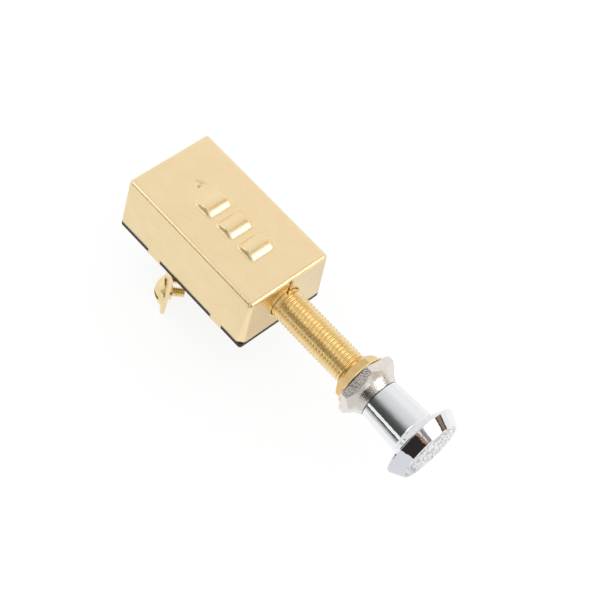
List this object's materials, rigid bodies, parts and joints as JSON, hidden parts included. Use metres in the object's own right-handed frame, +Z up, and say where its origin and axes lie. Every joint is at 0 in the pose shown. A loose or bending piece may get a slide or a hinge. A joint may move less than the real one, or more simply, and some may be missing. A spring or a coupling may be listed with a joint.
{
  "type": "push-pull switch",
  "caption": "Three-position push-pull panel switch: brass case with raised detent humps, threaded stem with nuts, chrome knob and screw terminals.",
  "frame": {"origin": "where the stem's axis leaves the front wall of the case", "axes": "+X along the stem towards the knob, +Y across the case, +Z up through the humped top"},
  "size_m": [0.1222, 0.0388, 0.0445],
  "materials": {
    "pale_brass": "satin drawn sheet, lightly clouded",
    "deep_brass": "bright turned brass",
    "nickel": "bright nickel plate over brass",
    "knob_chrome": "polished chrome, stippled on the face",
    "steel": "plain turned steel and spring wire",
    "copper_strip": "bare copper strip",
    "contact_silver": "silver contact rivet",
    "board_black": "moulded phenolic board",
    "carriage_brown": "moulded phenolic"
  },
  "bodies": {
    "housing": {"case_shell": "pale_brass", "terminal_board": "board_black", "stem": "deep_brass", "back_nut": "deep_brass", "panel_washer": "deep_brass", "face_nut": "nickel", "common_rail": "copper_strip", "first_contact": "copper_strip", "second_contact": "copper_strip", "common_rivet": "deep_brass", "rail_rivet": "deep_brass", "first_rivet": "deep_brass", "second_rivet": "deep_brass", "common_terminal": "pale_brass", "first_terminal": "pale_brass", "second_terminal": "pale_brass", "common_terminal_screw": "deep_brass", "first_terminal_screw": "deep_brass", "second_terminal_screw": "deep_brass"},
    "plunger": {"knob": "knob_chrome", "shaft": "steel", "carriage": "carriage_brown", "tail_washer": "steel", "tail_clip": "steel", "bridge_spring_near": "steel", "bridge_spring_far": "steel", "detent_spring_near": "steel", "detent_spring_far": "steel"},
    "bridge": {"contact_bridge": "copper_strip", "bridge_buttons": "contact_silver"},
    "follower": {"detent_follower": "carriage_brown"},
    "roller": {"detent_roller": "steel"}
  },
  "joints": [
    {"name": "knob_pull", "type": "slide", "parent": "housing", "child": "plunger", "axis": [1, 0, 0], "range_m": [0, 0.0196]},
    {"name": "contact_lift", "type": "slide", "parent": "plunger", "child": "bridge", "axis": [0, 0, 1], "range_m": [0, 0.0006], "deforming": ["bridge_spring_near", "bridge_spring_far"]},
    {"name": "detent_follow", "type": "slide", "parent": "plunger", "child": "follower", "axis": [0, 0, 1], "range_m": [0, 0.0012], "deforming": ["detent_spring_near", "detent_spring_far"]},
    {"name": "roller_spin", "type": "hinge", "parent": "follower", "child": "roller", "pos_m": [-0.0355, 0, 0.0073], "axis": [0, 1, 0], "continuous": true}
  ]
}
